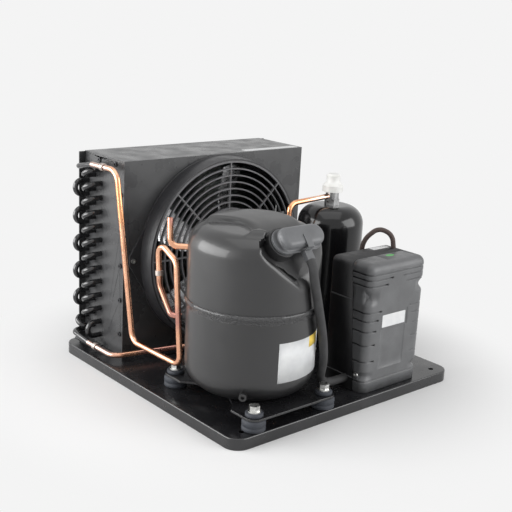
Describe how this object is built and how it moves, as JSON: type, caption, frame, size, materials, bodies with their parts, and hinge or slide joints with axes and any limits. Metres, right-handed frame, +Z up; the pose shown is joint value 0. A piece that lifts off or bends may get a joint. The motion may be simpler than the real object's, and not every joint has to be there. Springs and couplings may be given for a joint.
{
  "type": "refrigeration condensing unit",
  "caption": "Compact refrigeration condensing unit: hermetic compressor on rubber mounts, fan-cooled finned condenser, liquid receiver and control box on a pressed base.",
  "frame": {"origin": "centre of the base plate's underside, on the plane it stands on", "axes": "+X along the edge with the control box, +Y towards the condenser, +Z up"},
  "size_m": [0.5, 0.5011, 0.368],
  "materials": {
    "base_paint": "satin black paint",
    "gloss_paint": "gloss black paint",
    "cowl_paint": "satin black paint",
    "motor_paint": "satin black paint",
    "mount_rubber": "matt",
    "zinc_steel": "bright zinc plating",
    "black_steel": "blackened",
    "bare_steel": "machined",
    "valve_steel": "machined, dull plating",
    "motor_steel": "stacked sheet",
    "pump_iron": "as cast, machined faces",
    "rod_aluminium": "cast",
    "fin_aluminium": "plain sheet",
    "blade_aluminium": "plain sheet",
    "can_aluminium": "drawn can",
    "copper": "drawn copper tube",
    "silver_braze": "silver brazed coupling",
    "black_plastic": "moulded",
    "guard_plastic": "moulded",
    "grey_plastic": "moulded",
    "box_plastic": "moulded",
    "cover_plastic": "moulded",
    "white_plastic": "moulded",
    "lead_jacket": "moulded jacket"
  },
  "bodies": {
    "unit": {"base_plate": "base_paint", "base_screws": "zinc_steel", "box_shell": "box_plastic", "coil_stubs": "gloss_paint", "coil_tubes": "copper", "compressor_foot": "base_paint", "compressor_lead": "lead_jacket", "condenser_fins": "fin_aluminium", "cover_clip": "bare_steel", "cylinder_block": "pump_iron", "cylinder_head": "pump_iron", "dip_tube": "copper", "discharge_line": "copper", "discharge_stub": "gloss_paint", "end_plates": "cowl_paint", "fan_guard": "guard_plastic", "fan_motor": "motor_paint", "fan_ring": "black_plastic", "fan_shroud": "cowl_paint", "hermetic_terminal": "bare_steel", "jumper_lead": "lead_jacket", "lead_latch": "black_plastic", "liquid_line": "copper", "lower_shell": "gloss_paint", "mount_bolts": "zinc_steel", "mount_nuts": "zinc_steel", "mount_sleeves": "zinc_steel", "overload_protector": "black_plastic", "pipe_joints": "silver_braze", "receiver_foot": "gloss_paint", "receiver_shell": "gloss_paint", "return_bends": "gloss_paint", "ring_screws": "zinc_steel", "rubber_mounts": "mount_rubber", "run_capacitor": "can_aluminium", "shroud_screws": "black_steel", "start_capacitor": "black_plastic", "start_relay": "black_plastic", "stator_core": "motor_steel", "stator_windings": "copper", "suction_stub": "copper", "suspension_springs": "bare_steel", "terminal_block": "white_plastic", "terminal_cover": "grey_plastic", "terminal_fence": "black_plastic", "upper_shell": "gloss_paint", "valve_body": "valve_steel", "valve_plate": "bare_steel", "weld_band": "gloss_paint"},
    "fan": {"fan_shaft": "bare_steel", "fan_blade": "blade_aluminium"},
    "crank": {"motor_rotor": "motor_steel", "crankshaft": "bare_steel"},
    "piston": {"piston": "pump_iron", "piston_pin": "bare_steel", "connecting_rod": "rod_aluminium"},
    "spindle": {"valve_spindle": "bare_steel"},
    "cap": {"valve_cap": "white_plastic"},
    "cover": {"box_cover": "cover_plastic", "box_screw": "zinc_steel"}
  },
  "joints": [
    {"name": "fan_spin", "type": "hinge", "parent": "unit", "child": "fan", "pos_m": [-0.001, 0.1, 0.1935], "axis": [0, 1, 0], "continuous": true},
    {"name": "crank_spin", "type": "hinge", "parent": "unit", "child": "crank", "pos_m": [-0.1275, -0.132, 0.1], "axis": [0, 0, 1], "continuous": true},
    {"name": "piston_stroke", "type": "slide", "parent": "unit", "child": "piston", "axis": [0, 1, 0], "range_m": [0, 0.012]},
    {"name": "spindle_turn", "type": "hinge", "parent": "unit", "child": "spindle", "pos_m": [0.151, -0.02, 0.32], "axis": [0, 0, 1], "range_deg": [0, 720]},
    {"name": "cap_lift", "type": "slide", "parent": "unit", "child": "cap", "axis": [0, 0, 1], "range_m": [0, 0.04]},
    {"name": "cover_pull", "type": "slide", "parent": "unit", "child": "cover", "axis": [0, -1, 0], "range_m": [0, 0.12]}
  ]
}
